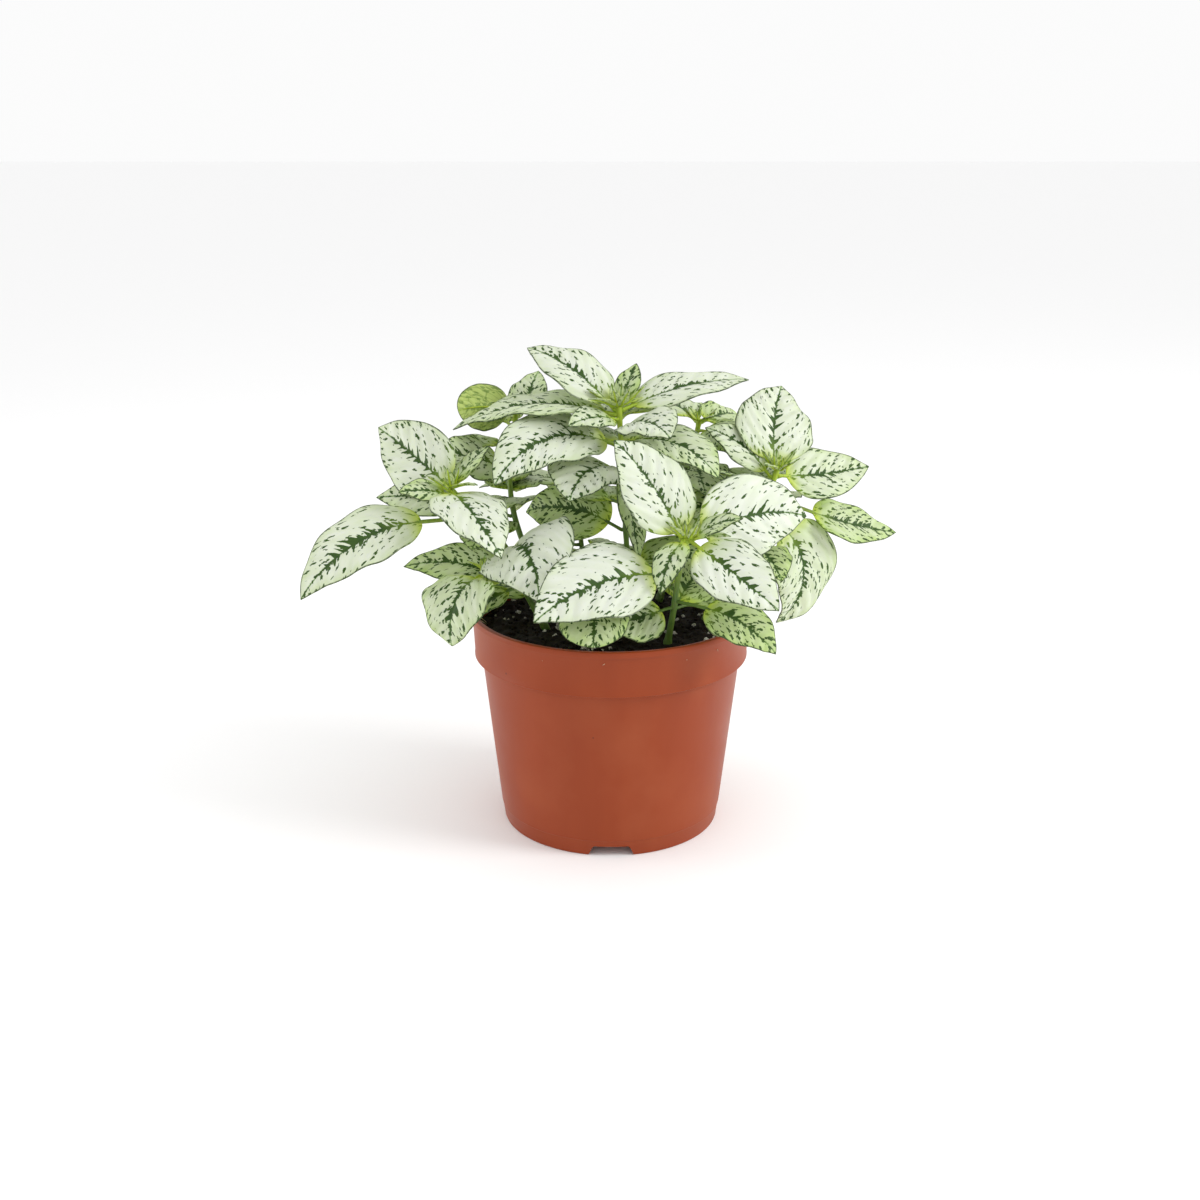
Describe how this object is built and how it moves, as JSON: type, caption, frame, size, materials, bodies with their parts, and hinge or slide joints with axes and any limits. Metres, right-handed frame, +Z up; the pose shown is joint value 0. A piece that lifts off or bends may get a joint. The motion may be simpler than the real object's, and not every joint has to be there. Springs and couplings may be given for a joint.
{
  "type": "potted polka dot plant",
  "caption": "Bushy house plant with white, green-speckled leaves on thin green shoots, rooted in peat in a tapered plastic nursery pot with a deep rim band.",
  "frame": {"origin": "on the floor under the middle of the pot and the plant", "axes": "+Z up, -Y towards the viewer that the plant faces, +X to that viewer's right"},
  "size_m": [0.2462, 0.1432, 0.202],
  "materials": {
    "pot_plastic": "moulded polypropylene with a low, soft sheen",
    "peat": "dark moist peat with white perlite grains",
    "stem_skin": "smooth green herbaceous skin",
    "leaf_blade": "satin white leaf with dark green speckles and midrib",
    "perlite": "matt porous white grains",
    "young_leaf": "satin yellow-green young leaf with green speckles"
  },
  "bodies": {
    "root": {"pot": "pot_plastic", "soil": "peat", "stem_left": "stem_skin", "leaf_left_far": "leaf_blade", "leaf_left_upper": "leaf_blade", "leaf_left_behind": "leaf_blade", "leaf_left_young_low": "young_leaf", "leaf_left_young_high": "young_leaf", "leaf_left_front": "leaf_blade", "leaf_left_under": "leaf_blade", "leaf_left_inner": "leaf_blade", "stem_low_left": "stem_skin", "leaf_low_outer": "leaf_blade", "leaf_low_front": "leaf_blade", "leaf_low_by_soil": "leaf_blade", "stem_middle": "stem_skin", "leaf_top_left": "leaf_blade", "leaf_top_right": "leaf_blade", "leaf_top_young_left": "young_leaf", "leaf_top_young_back": "young_leaf", "leaf_top_front_right": "leaf_blade", "leaf_middle_big_left": "leaf_blade", "leaf_middle_left_behind": "leaf_blade", "leaf_middle_right": "leaf_blade", "leaf_middle_right_low": "leaf_blade", "leaf_middle_front": "leaf_blade", "leaf_middle_hanging": "leaf_blade", "leaf_middle_shaded": "leaf_blade", "stem_rear_left": "stem_skin", "leaf_rear_left_round": "leaf_blade", "leaf_rear_left_upright": "leaf_blade", "leaf_rear_left_low": "leaf_blade", "stem_small_front": "stem_skin", "leaf_soil_round_left": "leaf_blade", "stem_front": "stem_skin", "leaf_front_tall": "leaf_blade", "leaf_front_wide_right": "leaf_blade", "leaf_front_young_right": "young_leaf", "leaf_front_young_low": "young_leaf", "leaf_front_big_low": "leaf_blade", "leaf_front_big_left": "leaf_blade", "leaf_front_trailing": "leaf_blade", "leaf_soil_round_right": "leaf_blade", "stem_right": "stem_skin", "leaf_right_top": "leaf_blade", "leaf_right_outer": "leaf_blade", "leaf_right_inner": "leaf_blade", "leaf_right_far": "leaf_blade", "leaf_right_hanging": "leaf_blade", "leaf_right_small": "leaf_blade", "leaf_right_rear": "leaf_blade", "stem_rear_right": "stem_skin", "leaf_rear_right_top": "leaf_blade", "leaf_rear_right_front": "leaf_blade", "leaf_rear_right_back": "leaf_blade", "leaf_rear_right_low": "leaf_blade", "stem_rear": "stem_skin", "leaf_rear_top": "leaf_blade", "leaf_rear_outer": "leaf_blade", "leaf_rear_low": "leaf_blade"}
  },
  "joints": []
}
